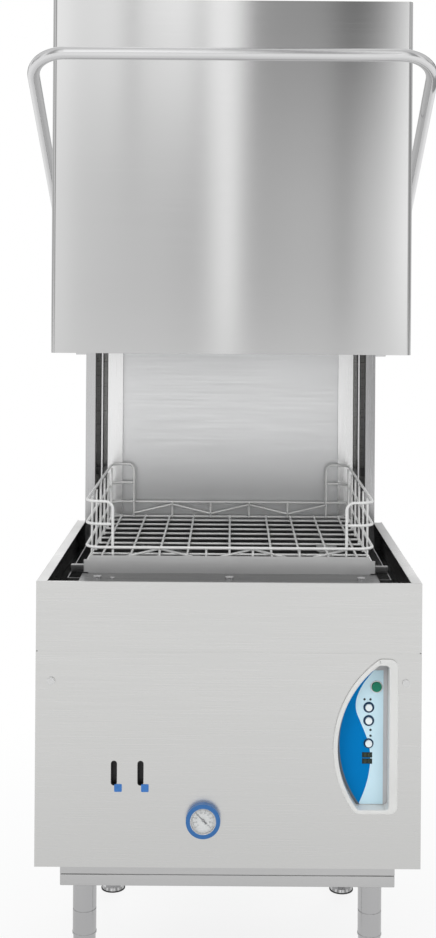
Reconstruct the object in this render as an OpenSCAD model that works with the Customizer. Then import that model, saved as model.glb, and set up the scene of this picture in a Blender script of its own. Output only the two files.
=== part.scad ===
// Hood-type commercial warewasher, hood raised, with its wire rack.
// X runs across the front, Y runs back from the front, Z runs up from the floor.

/* [Cabinet] */
// Outer width of the cabinet
cab_w = 640; // [610:5:800]
// Depth of the cabinet's side panels
cab_d = 588; // [588:2:720]
// Height of the loading rim above the floor
rim_z = 800; // [660:5:980]
// Height of the cabinet's skin below the rim
skin_h = 473; // [460:1:500]
// Height of the front apron
apron_h = 114.7; // [90:0.1:120]
// Seam between the apron and the service panel
seam_w = 1.6; // [1:0.1:3]
// Thickness of the sheet metal
sheet = 1.5; // [1:0.1:2]
// Width of the rim's side flanges
flange_w = 18; // [12:0.5:18.5]
// Setback of the base's front face
base_setback = 60; // [40:1:80]
// Height of the upper base tray
tray_h = 38; // [30:1:50]
// Height of the lower base frame
frame_h = 19.2; // [15:0.1:30]

/* [Legs] */
// Radius of a leg tube
leg_r = 20.2; // [17:0.1:25]
// Radius of a foot's threaded stem
stem_r = 10; // [8:0.1:12]
// Length of a foot's stem above its nut
stem_len = 90; // [75:1:95]

/* [Hood] */
// Height of the hood
hood_h = 588; // [560:1:620]
// Height of the raised hood's lower edge above the rim
open_h = 378; // [360:1:400]
// Travel of the hood from raised to closed
hood_lift = 420; // [400:1:420]
// Radius of the hood's front vertical edges
hood_edge_r = 8; // [4:0.5:12]
// Radius of a guide rod
rod_r = 3.5; // [2.5:0.1:5]
// Length of a guide block
block_h = 40; // [25:1:50]

/* [Handle] */
// Radius of the handle tube
bail_r = 10; // [8:0.1:12]
// Bend radius of the handle's corners
bail_bend = 55; // [40:1:70]
// Radius of the pivot shaft
shaft_r = 10; // [8:0.1:12]
// Distance of the handle bar in front of the cabinet
bar_reach = 110; // [90:1:130]
// Height of the handle bar above the rim
bar_h = 855; // [820:1:880]
// Height of the pivot above the rim
pivot_h = 362; // [350:1:370]
// Angle the handle swings through as the hood travels
bail_swing = 54; // [52:0.5:56]
// Radius of the track shoe
shoe_r = 10; // [8:0.1:11]
// Reach of a spring lever
lever_len = 40; // [30:1:44]
// Mean radius of a balance spring
spring_r = 8; // [6:0.1:9]
// Wire radius of a balance spring
spring_wire = 1.2; // [0.8:0.1:1.5]

/* [Columns] */
// Width of a column
col_w = 77.5; // [70:0.5:80]
// Depth of a column
col_d = 87; // [80:1:100]
// Height of the columns above the rim
col_h = 560; // [556:1:590]
// Width of the column's guide slot
slot_w = 23; // [20:0.5:24]
// Depth of the rear cover
cover_d = 32; // [28:1:60]

/* [Tank] */
// Depth of the tank below the rim
tank_h = 200; // [190:1:210]
// Depth of the sump below the tank's floor
sump_h = 60; // [50:1:60]
// Half width of the sump
sump_half = 90; // [80:1:110]
// Depth of the gutter below the rim
gutter_h = 62; // [55:1:80]

/* [Rack] */
// Outer size of the square rack
rack_s = 500; // [450:1:500]
// Radius of the rack's rim wires
wire_r = 2.5; // [2:0.1:3]
// Radius of the rack's inner wires
grid_r = 2; // [1.5:0.1:2.5]
// Height of the rack's top wire above the rim
rack_h = 120; // [100:1:140]

/* [Wash arms] */
// Radius swept by the arms
arm_reach = 230; // [200:1:235]
// Radius of a wash arm tube
wash_r = 11; // [9:0.1:12]
// Radius of a rinse arm tube
rinse_r = 6; // [5:0.1:7]
// Radius of the arm spindles
spindle_r = 8; // [6:0.1:9]
// Radius of the wash riser pipe
riser_r = 14; // [12:0.1:15]

/* [Controls] */
// Radius of the control surround's curved side
surround_arc = 180; // [175:0.5:190]
// Depth of the control recess
recess_d = 22; // [18:0.5:24]
// Radius of the power button
power_r = 8; // [6:0.1:9]
// Radius of the three programme buttons
button_r = 5.6; // [4.5:0.1:7]
// Travel of the buttons
button_travel = 3; // [1:0.5:4]
// Radius of the gauge's bezel
gauge_r = 28.5; // [25:0.1:32]

/* [Hidden] */
$fn = 64;

// Clearances
fit_gap = 0.2;      // between sheets that meet
run_gap = 0.05;     // radial, on shafts
slide_gap = 0.3;    // between parts that slide
weld_gap = 0.05;    // between welded wires

// Cabinet
half_w = cab_w / 2;
skin_z = rim_z - skin_h;
apron_z = rim_z - apron_h;
flange_x = half_w - flange_w;
tray_z = skin_z - tray_h;
base_gap = 0.8;
frame_z = tray_z - base_gap - frame_h;
base_x = half_w - 35;
rail_w = 60;
leg_x = base_x - 40;
leg_bottom = 22;

// Hood and columns
hood_x = half_w - 20;
hood_y0 = 8;
hood_y1 = cab_d - 12;
hood_z = rim_z + open_h;
hood_top = hood_z + hood_h;
hood_flange_x = hood_x - 45;
hood_flange_lift = 50;
skirt_h = 68;
col_x1 = hood_x + 4;
col_x0 = col_x1 - col_w;
col_y0 = hood_y1 + 5;
col_y1 = col_y0 + col_d;
col_top = rim_z + col_h;
slot_x1 = col_x1 - 22;
slot_x0 = slot_x1 - slot_w;
slot_z0 = rim_z + 6;
slot_z1 = col_top - 14;
rod_x = (slot_x0 + slot_x1) / 2;
rod_y = col_y0 + 11;
back_y = col_y0 + 15;
cover_y = col_y1 + cover_d;
leg_y0 = base_setback + 24;
leg_y1 = col_y1 - 24;
deck_top = skin_z + sheet;

// Handle: the bail leans forward and up from the pivot
pivot_y = col_y1 - 23;
pivot_z = rim_z + pivot_h;
arm_x = col_x1 + 16;
bail_angle = atan2(bar_h - pivot_h, pivot_y + bar_reach);
shoe_dist = hood_lift / (sin(bail_angle) + sin(bail_swing - bail_angle));
bail_len = norm([pivot_y + bar_reach, bar_h - pivot_h]);
hub_r = shaft_r + 7;
lever_x = 150;
lever_tip_z = pivot_z - lever_len * sin(bail_angle);
lever_tip_y = pivot_y + lever_len * cos(bail_angle);
pin_r = 3;
anchor_z = rim_z + 100;
anchor_y = lever_tip_y + 2;

// Track on the hood's side, centred on the middle of the shoe's drift
track_gap = 5;
track_drift = 3.95;
shoe_z = pivot_z + shoe_dist * sin(bail_angle);
shoe_y_near = pivot_y - shoe_dist;
shoe_y_far = pivot_y - shoe_dist * cos(bail_angle);
track_z = shoe_z + track_drift;
track_half = shoe_r + track_gap;
track_d = 8;

// Rack
rack_y1 = col_y0 - sheet;
rack_y0 = rack_y1 - rack_s;
rack_cy = (rack_y0 + rack_y1) / 2;
wire_half = rack_s / 2 - wire_r;
rack_corner = 25;
rail_top = rim_z + 8;
base_wire_z = rail_top + wire_r + slide_gap;
low_wire_z = rim_z + 41;
mid_wire_z = rim_z + 81;
top_wire_z = rim_z + rack_h;
post_x = 201;
post_bend = 14;

// Tank
tank_x = hood_x - 26;
tank_y0 = 45;
tank_y1 = hood_y1 + 2;
tank_top = rim_z - 2 - sheet;
tank_z = rim_z - tank_h;
sump_z = tank_z - sump_h;
gutter_z = rim_z - gutter_h;
ledge_x = half_w - 68;
ledge_y0 = 14;
lip_y = rack_y0 - 1 - sheet;
lip_top = rim_z + 28;
filter_z = tank_z + 100;
standpipe_x = 200;
standpipe_y = tank_y1 - 48;
standpipe_r = 15;
heater_z = tank_z + 40;
heater_x = -140;
heater_half = 50;
heater_r = 5;

// Plumbing
pump_z = skin_z + 103;
volute_r = 72;
volute_y0 = rack_cy - 30;
volute_y1 = rack_cy + 15;
motor_r = 60;
motor_y1 = volute_y1 + 175;
motor_shaft_r = 8;
suction_r = 24;
suction_y = volute_y0 - 40;
tee_z = sump_z - 20;
riser_y = back_y + sheet + riser_r + 2;
manifold_z = rim_z + 452;
lower_wash_z = rim_z - 60;
lower_rinse_z = rim_z - 35;
upper_wash_z = rim_z + 421;
upper_rinse_z = rim_z + 398;
hub_half = 9;
drain_r = 20;
spigot_r = drain_r - 1.5;
drain_z = skin_z + 40;
nipple_r = 13.2;
nipple_collar_r = nipple_r + 2;
nipple_x = -175;
nipple_z = skin_z + 98;
gland_x = 120;
gland_z = skin_z + 100;
gland_r = 11;
gland_bore = 6;
fitting_out = 25;

// Controls
surround_cx = 353.5;
surround_cz = rim_z - 272.7;
surround_top = rim_z - 125;
surround_bottom = rim_z - 382;
surround_right = 281;
recess_arc = surround_arc - 8;
recess_right = surround_right - 15;
recess_top = surround_top - 11;
recess_bottom = surround_bottom + 7.6;
tube_wall = 2;
fascia_t = 3;
board_y = recess_d + fascia_t + button_travel + 5.2;
power_x = 247.7;
power_z = rim_z - 177.3;
button_x = 234.8;
upper_button_z = rim_z - 211.9;
lower_button_z = rim_z - 234;
start_z = rim_z - 272;
lamp_x = 238;
lamp_z = [rim_z - 249.7, rim_z - 259.3];
display_x = 233.7;
display_z = [rim_z - 291.6, rim_z - 301.8];
display_w = 18;
display_h = 7.7;
gauge_x = -40.6;
gauge_z = rim_z - 392.6;
dial_r = gauge_r - 7;
slot_x = [-189, -145];
slot_cz = rim_z - 317;
dose_w = 10.3;
dose_h = 41.4;
tag_s = 12.6;
tag_x = [-182, -137.5];
tag_z = rim_z - 341.5;
screw_x = half_w - 26;
screw_z = rim_z - 165;
screw_shank = 2.4;

// The whole machine is centred on its overall depth, from the bar to the rear fittings
front_end = -bar_reach - bail_r;
rear_end = cover_y + fitting_out;
collar_out = 3;
shift_y = -(front_end + rear_end) / 2;

// ---- shapes ----

module placed() translate([0, shift_y, 0]) children();
module both_sides() {
    children();
    mirror([1, 0, 0]) children();
}
module box(a, b) translate(a) cube(b - a);
module cyl_x(x0, x1, y, z, r) translate([x0, y, z]) rotate([0, 90, 0]) cylinder(h = x1 - x0, r = r);
module cyl_y(x, y0, y1, z, r) translate([x, y0, z]) rotate([-90, 0, 0]) cylinder(h = y1 - y0, r = r);
module cyl_z(x, y, z0, z1, r) translate([x, y, z0]) cylinder(h = z1 - z0, r = r);
module slanted(p, q, r) {
    v = q - p;
    h = norm(v);
    translate(p) rotate([0, acos(v.z / h), atan2(v.y, v.x)]) cylinder(h = h, r = r);
}
// A quarter of a ring in the XY plane, from +X to +Y, about the origin
module elbow(bend, r) rotate_extrude(angle = 90) translate([bend, 0]) circle(r);
module prism_y(points, y0, y1) {
    translate([0, y1, 0]) rotate([90, 0, 0]) linear_extrude(y1 - y0) polygon(points);
}
function arc(c, r, a0, a1, n = 8) =
    [for (i = [0:n]) c + r * [cos(a0 + (a1 - a0) * i / n), sin(a0 + (a1 - a0) * i / n)]];
function stadium(cx, cz, w, h) = concat(
    arc([cx, cz + (h - w) / 2], w / 2, 0, 180),
    arc([cx, cz - (h - w) / 2], w / 2, 180, 360));
function rrect(x0, z0, x1, z1, r) = concat(
    arc([x1 - r, z1 - r], r, 0, 90), arc([x0 + r, z1 - r], r, 90, 180),
    arc([x0 + r, z0 + r], r, 180, 270), arc([x1 - r, z0 + r], r, 270, 360));
// Outline with one big arc on the left and rounded corners, in X and Z
function corner_on_arc(big, f, z) =
    [surround_cx - sqrt(pow(big - f, 2) - pow(z - surround_cz, 2)), z];
function bow(big, right, bottom, top, f) = let (
    c = [surround_cx, surround_cz],
    low = corner_on_arc(big, f, bottom + f),
    high = corner_on_arc(big, f, top - f),
    a_high = atan2(high.y - c.y, high.x - c.x),
    a_low = 360 + atan2(low.y - c.y, low.x - c.x))
    concat(
        arc([right - f, top - f], f, 0, 90),
        arc(high, f, 90, a_high),
        arc(c, big, a_high, a_low, 36),
        arc(low, f, a_low, 270),
        arc([right - f, bottom + f], f, 270, 360));

// ---- cabinet ----

module front_apron() {
    color("silver") placed() {
        box([-half_w, 0, apron_z], [half_w, sheet, rim_z]);
        box([-flange_x + fit_gap, sheet, rim_z - sheet], [flange_x - fit_gap, 5, rim_z]);
    }
}

module service_panel() {
    color("silver") placed() difference() {
        box([-half_w, 0, skin_z], [half_w, sheet, apron_z - seam_w]);
        prism_y(bow(recess_arc + tube_wall + fit_gap, recess_right + tube_wall + fit_gap,
            recess_bottom - tube_wall - fit_gap, recess_top + tube_wall + fit_gap, 8), -1, sheet + 1);
        for (x = slot_x) prism_y(stadium(x, slot_cz, dose_w, dose_h), -1, sheet + 1);
        cyl_y(gauge_x, -1, sheet + 1, gauge_z, gauge_r / 2);
        for (s = [-1, 1]) cyl_y(s * screw_x, -1, sheet + 1, screw_z, screw_shank + fit_gap);
    }
}

module side_panel() {
    y0 = sheet + fit_gap;
    box([half_w - sheet, y0, skin_z], [half_w, cab_d, rim_z]);
    box([flange_x, y0, rim_z - sheet], [half_w - sheet, col_y0 - 1, rim_z]);
    box([col_x1 + fit_gap, cab_d - sheet, deck_top + fit_gap], [half_w - sheet, cab_d, rim_z - sheet]);
}
module side_panels() { color("silver") placed() both_sides() side_panel(); }

module base_tray() {
    color("gray") placed() {
        box([-half_w + sheet + fit_gap, sheet + fit_gap, skin_z], [half_w - sheet - fit_gap, cab_d, deck_top]);
        box([-col_x1, cab_d, skin_z], [col_x1, col_y1, deck_top]);
        difference() {
            box([-base_x, base_setback, tray_z], [base_x, col_y1, skin_z]);
            box([-base_x + sheet, base_setback + sheet, tray_z - 1], [base_x - sheet, col_y1 - sheet, skin_z]);
        }
    }
}

module base_frame() {
    color("gray") placed() difference() {
        box([-base_x, base_setback, frame_z], [base_x, col_y1, frame_z + frame_h]);
        box([-base_x + rail_w, base_setback + rail_w, frame_z - 1],
            [base_x - rail_w, col_y1 - rail_w, frame_z + frame_h + 1]);
    }
}

module leg(x, y) {
    joint_z = frame_z - 48;
    ring_z = frame_z - 90;
    difference() {
        union() {
            cyl_z(x, y, joint_z + 2, frame_z, leg_r);
            cyl_z(x, y, joint_z, joint_z + 2, leg_r - 0.8);
            cyl_z(x, y, ring_z + 3, joint_z, leg_r);
            cyl_z(x, y, ring_z, ring_z + 3, leg_r + 0.6);
            cyl_z(x, y, leg_bottom, ring_z, leg_r - 1);
        }
        cyl_z(x, y, leg_bottom - 1, leg_bottom + stem_len, stem_r + run_gap);
    }
}
module legs() {
    color("dimgray") placed() for (x = [-leg_x, leg_x], y = [leg_y0, leg_y1]) leg(x, y);
}

module foot(x, y) {
    pad_h = 8;
    nut_h = leg_bottom - pad_h - 2;
    color("dimgray") placed() {
        translate([x, y, 0]) cylinder(h = pad_h, r1 = stem_r + 15, r2 = stem_r + 12);
        translate([x, y, pad_h]) cylinder(h = nut_h, r = stem_r + 6, $fn = 6);
        cyl_z(x, y, pad_h + nut_h, leg_bottom + stem_len - 2, stem_r);
    }
}
module foot_front_left() { foot(-leg_x, leg_y0); }
module foot_front_right() { foot(leg_x, leg_y0); }
module foot_rear_left() { foot(-leg_x, leg_y1); }
module foot_rear_right() { foot(leg_x, leg_y1); }

module panel_screws() {
    color("white") placed() both_sides() {
        cyl_y(screw_x, -3, 0, screw_z, 6.3);
        cyl_y(screw_x, 0, 12, screw_z, screw_shank);
    }
}

// ---- tank and rim ----

module gutter_deck() {
    color("gray") placed() difference() {
        box([-half_w + sheet + fit_gap, sheet + fit_gap, gutter_z],
            [half_w - sheet - fit_gap, col_y0 - 1, gutter_z + sheet]);
        box([-tank_x - fit_gap, tank_y0 - fit_gap, gutter_z - 1], [tank_x + fit_gap, col_y0, gutter_z + sheet + 1]);
    }
}

module tank() {
    color("silver") placed() {
        difference() {
            union() {
                box([-tank_x, tank_y0, tank_z], [tank_x, tank_y1, tank_top]);
                box([-sump_half, rack_cy - sump_half, sump_z], [sump_half, rack_cy + sump_half, tank_z]);
            }
            box([-tank_x + sheet, tank_y0 + sheet, tank_z + sheet], [tank_x - sheet, tank_y1 - sheet, tank_top + 1]);
            box([-sump_half + sheet, rack_cy - sump_half + sheet, sump_z + sheet],
                [sump_half - sheet, rack_cy + sump_half - sheet, tank_z + sheet]);
            cyl_z(standpipe_x, standpipe_y, tank_z - 1, tank_z + sheet + 1, drain_r + fit_gap);
            cyl_z(0, suction_y, sump_z - 1, sump_z + sheet + 1, suction_r - 2);
            cyl_z(0, rack_cy, sump_z - 1, sump_z + sheet + 1, riser_r + fit_gap);
            for (s = [-1, 1])
                cyl_y(heater_x + s * heater_half, tank_y0 - 1, tank_y0 + sheet + 1, heater_z, heater_r + fit_gap);
        }
        box([-col_x0 + 2, tank_y1, tank_top - sheet], [col_x0 - 2, back_y - fit_gap, tank_top]);
    }
}

module filter_half() {
    hole_pitch = 44;
    difference() {
        box([1, tank_y0 + sheet + fit_gap, filter_z], [tank_x - sheet - fit_gap, tank_y1 - sheet - fit_gap, filter_z + 2]);
        cyl_z(0, rack_cy, filter_z - 1, filter_z + 3, riser_r + 12);
        for (i = [0:4], j = [0:9])
            cyl_z(36 + hole_pitch * i, tank_y0 + 50 + hole_pitch * j, filter_z - 1, filter_z + 3, 9);
        cyl_z(standpipe_x, standpipe_y, filter_z - 1, filter_z + 3, standpipe_r + 12);
    }
}
module tank_filters() {
    color("gainsboro") placed() both_sides() filter_half();
}

module tank_heater() {
    reach = tank_y0 + 90;
    color("dimgray") placed() {
        for (s = [-1, 1]) cyl_y(heater_x + s * heater_half, tank_y0 - 8, reach, heater_z, heater_r);
        translate([heater_x, reach, heater_z])
            rotate_extrude(angle = 180) translate([heater_half, 0]) circle(heater_r);
        box([heater_x - heater_half - 12, tank_y0 - 4, heater_z - 12], [heater_x + heater_half + 12, tank_y0, heater_z + 12]);
    }
}

module standpipe() {
    top = filter_z + 60;
    color("whitesmoke") placed() difference() {
        union() {
            cyl_z(standpipe_x, standpipe_y, tank_z + sheet + 4.3, top, standpipe_r);
            cyl_z(standpipe_x, standpipe_y, tank_z - 14, tank_z + sheet + 4.3, standpipe_r - 2 - slide_gap);
            cyl_z(standpipe_x, standpipe_y, top - 10, top, standpipe_r + 6);
        }
        cyl_z(standpipe_x, standpipe_y, tank_z - 15, top - 14, standpipe_r - 5);
        for (a = [0, 90])
            translate([standpipe_x, standpipe_y, filter_z - 20]) rotate([90, 0, a]) cylinder(h = 60, r = 6, center = true);
    }
}

module ledge() {
    color("gray") placed() {
        difference() {
            box([-ledge_x, ledge_y0, tank_top], [ledge_x, lip_y, tank_top + sheet]);
            for (x = [-222, 0, 222]) cyl_z(x, 34, tank_top - 1, tank_top + 3, 3.2);
        }
        box([-ledge_x, ledge_y0, gutter_z + sheet], [ledge_x, ledge_y0 + sheet, tank_top]);
    }
}

module lip_plate() {
    tab_x = half_w - 70;
    color("silver") placed() {
        prism_y(concat(arc([tab_x - 14, lip_top - 6], 6, 0, 90), arc([-tab_x + 14, lip_top - 6], 6, 90, 180),
            [[-tab_x + 8, tank_top], [tab_x - 8, tank_top]]), lip_y, lip_y + sheet);
        both_sides() box([tab_x - 8, lip_y, tank_top + 3], [tab_x, lip_y + sheet, lip_top - 7]);
    }
}

module ledge_screws() {
    color("lightgray") placed() {
        for (x = [-222, 0, 222]) {
            cyl_z(x, 34, tank_top + sheet, tank_top + sheet + 4, 7);
            cyl_z(x, 34, tank_top - 8, tank_top + sheet, 3);
        }
        cyl_z(-197, 34, tank_top + sheet, tank_top + sheet + 2, 4);
    }
}

module rack_rails() {
    inset = 14;
    color("gray") placed() for (y = [rack_y0 + inset, rack_y1 - inset - 12]) {
        box([-tank_x, y, rail_top - sheet], [tank_x, y + 12, rail_top]);
        box([-tank_x, y, tank_top], [tank_x, y + sheet, rail_top - sheet]);
    }
}

// ---- columns ----

module column() {
    hole = hub_r - 3;
    difference() {
        union() {
            box([col_x0, col_y0, deck_top], [col_x1, col_y0 + sheet, col_top]);
            box([col_x1 - sheet, col_y0 + sheet, deck_top], [col_x1, col_y1, col_top]);
            box([col_x0, col_y0 + sheet, deck_top], [col_x0 + sheet, col_y1, col_top]);
            box([col_x0 + sheet, col_y0 + sheet, col_top - sheet], [col_x1 - sheet, col_y1, col_top]);
        }
        box([slot_x0, col_y0 - 1, slot_z0], [slot_x1, col_y0 + sheet + 1, slot_z1]);
        cyl_x(col_x0 - 1, col_x1 + 1, pivot_y, pivot_z, hole + run_gap);
    }
    cyl_y(col_x0 + 8.5, col_y0 - 2, col_y0, rim_z + 242, 5);
}
module column_left() { color("gray") placed() mirror([1, 0, 0]) column(); }
module column_right() { color("gray") placed() column(); }

module guide_rods() {
    y0 = col_y0 + sheet + fit_gap;
    color("lightgray") placed() both_sides() {
        cyl_z(rod_x, rod_y, rim_z - 6, col_top - sheet - 2, rod_r);
        for (z = [rim_z - 8, slot_z1 + 2]) difference() {
            box([rod_x - 9, y0, z], [rod_x + 9, rod_y + 12, z + 9]);
            cyl_z(rod_x, rod_y, z - 1, z + 10, rod_r + weld_gap);
        }
    }
}

module back_wall() {
    color("white") placed() difference() {
        box([-col_x0 + fit_gap, back_y, tank_top - sheet], [col_x0 - fit_gap, back_y + sheet, col_top]);
        cyl_y(0, back_y - 1, back_y + sheet + 1, manifold_z, riser_r + slide_gap);
    }
}

module shaft_cover() {
    y0 = col_y1 + fit_gap;
    color("silver") placed() difference() {
        union() {
            box([-col_x1, cover_y - sheet, tray_z], [col_x1, cover_y, col_top]);
            both_sides() box([col_x1 - sheet, y0, tray_z], [col_x1, cover_y - sheet, col_top]);
            box([-col_x1 + sheet, y0, col_top - sheet], [col_x1 - sheet, cover_y - sheet, col_top]);
            box([-col_x1 + sheet, y0, tray_z], [col_x1 - sheet, cover_y - sheet, tray_z + sheet]);
        }
        for (x = [-130, 130], i = [0:7])
            box([x - 45, cover_y - sheet - 1, rim_z - 120 + 16 * i], [x + 45, cover_y + 1, rim_z - 114 + 16 * i]);
        cyl_y(nipple_x, cover_y - sheet - 1, cover_y + 1, nipple_z, nipple_collar_r + slide_gap);
        cyl_y(gland_x, cover_y - sheet - 1, cover_y + 1, gland_z, gland_r + fit_gap);
        cyl_y(standpipe_x, cover_y - sheet - 1, cover_y + 1, drain_z, drain_r + slide_gap);
    }
}

module bush(x0, x1, flange_x0) {
    difference() {
        union() {
            cyl_x(x0, x1, pivot_y, pivot_z, hub_r - 3);
            cyl_x(flange_x0, flange_x0 + 3, pivot_y, pivot_z, hub_r + 2);
        }
        cyl_x(x0 - 5, x1 + 5, pivot_y, pivot_z, shaft_r + run_gap);
    }
}
module pivot_bushes() {
    color("ivory") placed() both_sides() {
        bush(col_x1 - 7, col_x1, col_x1);
        bush(col_x0, col_x0 + 7, col_x0 - 3);
    }
}

module spring_anchor() {
    y0 = col_y1 + 0.3;
    color("gray") placed() {
        box([-col_x1 + sheet + fit_gap, y0, anchor_z - 15], [col_x1 - sheet - fit_gap, y0 + 3, anchor_z + pin_r]);
        for (s = [-1, 1]) cyl_y(s * lever_x, y0 + 3, anchor_y + 6, anchor_z, pin_r);
    }
}

// One spring: rings of points swept along a helix, between two end plugs
module balance_spring(x) {
    sides = 5;
    per_turn = 8;
    turns = 12;
    low = anchor_z + pin_r + slide_gap;
    high = lever_tip_z - pin_r - slide_gap;
    plug = 14;
    z0 = low + plug + spring_wire + weld_gap;
    z1 = high - plug - spring_wire - weld_gap;
    count = turns * per_turn;
    function ring(i) = let (a = 360 * i / per_turn) [for (k = [0:sides - 1]) let (b = 360 * k / sides)
        [(spring_r + spring_wire * cos(b)) * cos(a), (spring_r + spring_wire * cos(b)) * sin(a),
         z0 + (z1 - z0) * i / count + spring_wire * sin(b)]];
    points = [for (i = [0:count]) each ring(i)];
    faces = concat(
        [[for (k = [sides - 1:-1:0]) k]],
        [for (i = [0:count - 1], k = [0:sides - 1]) let (p = i * sides, q = (k + 1) % sides)
            each [[p + k, p + sides + q, p + sides + k], [p + k, p + q, p + sides + q]]],
        [[for (k = [0:sides - 1]) count * sides + k]]);
    y = (anchor_y + lever_tip_y) / 2;
    translate([x, y, 0]) polyhedron(points, faces);
    for (z = [low, high - plug + 6]) cyl_z(x, y, z, z + plug - 6, spring_wire + 1);
    for (z = [low + plug - 6, high - plug]) cyl_z(x, y, z, z + 6, spring_r + spring_wire);
}
module balance_springs() {
    color("dimgray") placed() for (s = [-1, 1]) balance_spring(s * lever_x);
}

// ---- controls ----

module control_surround() {
    color("white") placed() difference() {
        union() {
            prism_y(bow(surround_arc, surround_right, surround_bottom, surround_top, 14), -4, 0);
            prism_y(bow(recess_arc + tube_wall, recess_right + tube_wall, recess_bottom - tube_wall,
                recess_top + tube_wall, 8), 0, recess_d + fascia_t);
        }
        prism_y(bow(recess_arc, recess_right, recess_bottom, recess_top, 6), -5, recess_d + fascia_t + 1);
    }
}

module control_fascia() {
    color("deepskyblue") placed() difference() {
        prism_y(bow(recess_arc - fit_gap, recess_right - fit_gap, recess_bottom + fit_gap,
            recess_top - fit_gap, 6), recess_d, recess_d + fascia_t);
        cyl_y(power_x, recess_d - 1, recess_d + fascia_t + 1, power_z, power_r + slide_gap);
        for (z = [upper_button_z, lower_button_z, start_z])
            cyl_y(button_x, recess_d - 1, recess_d + fascia_t + 1, z, button_r + slide_gap);
        for (z = lamp_z) cyl_y(lamp_x, recess_d - 1, recess_d + fascia_t + 1, z, 1.5);
        for (z = display_z)
            box([display_x - display_w / 2 - fit_gap, recess_d - 1, z - display_h / 2 - fit_gap],
                [display_x + display_w / 2 + fit_gap, recess_d + fascia_t + 1, z + display_h / 2 + fit_gap]);
    }
}

module control_board() {
    color("darkgreen") placed() {
        box([display_x - 14, board_y, rim_z - 318], [recess_right - 4, board_y + 1.6, rim_z - 162]);
        for (z = lamp_z) cyl_y(lamp_x, recess_d - 0.5, board_y, z, 1.3);
        for (z = display_z)
            box([display_x - display_w / 2, recess_d - 0.3, z - display_h / 2], [display_x + display_w / 2, board_y, z + display_h / 2]);
        for (z = [rim_z - 195, rim_z - 309]) cyl_y(253, recess_d + fascia_t, board_y, z, 2.5);
    }
}

module push_button(x, z, r) {
    back = recess_d + fascia_t;
    placed() {
        cyl_y(x, recess_d - 4, back, z, r);
        cyl_y(x, back + 0.1, back + 1.6, z, r + 1.4);
        cyl_y(x, back, back + 0.1, z, r);
        cyl_y(x, back + 1.6, back + 5, z, 3);
    }
}
module power_button() { color("seagreen") push_button(power_x, power_z, power_r); }
module programme_button_upper() { color("aliceblue") push_button(button_x, upper_button_z, button_r); }
module programme_button_lower() { color("aliceblue") push_button(button_x, lower_button_z, button_r); }
module start_button() { color("white") push_button(button_x, start_z, button_r); }

module gauge_body() {
    color("royalblue") placed() difference() {
        union() {
            cyl_y(gauge_x, -11, 0, gauge_z, gauge_r);
            cyl_y(gauge_x, 0, 16, gauge_z, gauge_r / 2 - fit_gap);
            cyl_y(gauge_x, sheet, sheet + 6, gauge_z, gauge_r / 2 + 5);
        }
        cyl_y(gauge_x, -12, -3, gauge_z, dial_r);
    }
}
module gauge_dial() {
    color("white") placed() {
        cyl_y(gauge_x, -3.8, -3, gauge_z, dial_r - fit_gap);
        cyl_y(gauge_x, -6.6, -3.8, gauge_z, 0.8);
    }
}
module gauge_needle() {
    color("black") placed() translate([gauge_x, 0, gauge_z]) rotate([0, 45, 0]) difference() {
        union() {
            prism_y([[-dial_r + 5, 0.2], [-dial_r + 5, -0.2], [0, -0.9], [8, -1.8], [8, 1.8], [0, 0.9]], -5.6, -4.8);
            cyl_y(0, -6, -4.2, 0, 2.2);
        }
        cyl_y(0, -7, -4, 0, 0.8 + run_gap);
    }
}
module gauge_lens() {
    color("azure", 0.4) placed() cyl_y(gauge_x, -9.4, -8.2, gauge_z, dial_r - fit_gap);
}

module dosing_slots() {
    depth = 14;
    color("black") placed() for (x = slot_x) difference() {
        prism_y(stadium(x, slot_cz, dose_w - 2 * fit_gap, dose_h - 2 * fit_gap), 0.2, depth);
        prism_y(stadium(x, slot_cz, dose_w - 2.4, dose_h - 2.4), 0, depth - 3);
    }
}
module dosing_tags() {
    color("dodgerblue") placed() for (x = tag_x)
        prism_y(rrect(x - tag_s / 2, tag_z - tag_s / 2, x + tag_s / 2, tag_z + tag_s / 2, 1.5), -1, 0);
}
module dosing_pumps() {
    color("slategray") placed() for (x = slot_x) {
        box([x - 18, 14, slot_cz - 30], [x + 18, 50, slot_cz + 30]);
        cyl_y(x, 50, 80, slot_cz, 17);
    }
}
module electrical_box() {
    x1 = half_w - sheet - 18;
    color("lightgray") placed() difference() {
        box([x1 - 150, 60, deck_top], [x1, 150, tank_z - 40]);
        box([x1 - 148, 62, deck_top + 2], [x1 - 2, 148, tank_z - 42]);
    }
}

// ---- pump and plumbing ----

module pump_housing() {
    color("dimgray") placed() difference() {
        union() {
            cyl_y(0, volute_y0, volute_y1, pump_z, volute_r);
            cyl_z(0, suction_y, pump_z, sump_z, suction_r);
            cyl_y(0, suction_y, volute_y0, pump_z, suction_r);
            translate([0, suction_y, pump_z]) sphere(suction_r + 3);
            cyl_z(0, rack_cy - 8, pump_z + volute_r - 8, tee_z - riser_r - 2, riser_r + 3);
            box([-40, volute_y0 + 2, deck_top], [40, volute_y1 - 2, pump_z - volute_r + 10]);
        }
        cyl_y(0, volute_y0 + 5, volute_y1 - 5, pump_z, volute_r - 6);
        cyl_z(0, suction_y, pump_z, sump_z + 1, suction_r - 3);
        cyl_y(0, suction_y, volute_y0 + 6, pump_z, suction_r - 3);
        cyl_z(0, rack_cy - 8, pump_z + volute_r - 14, tee_z, riser_r - 3);
        cyl_y(0, volute_y1 - 6, volute_y1 + 1, pump_z, motor_shaft_r + slide_gap);
    }
}
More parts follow.
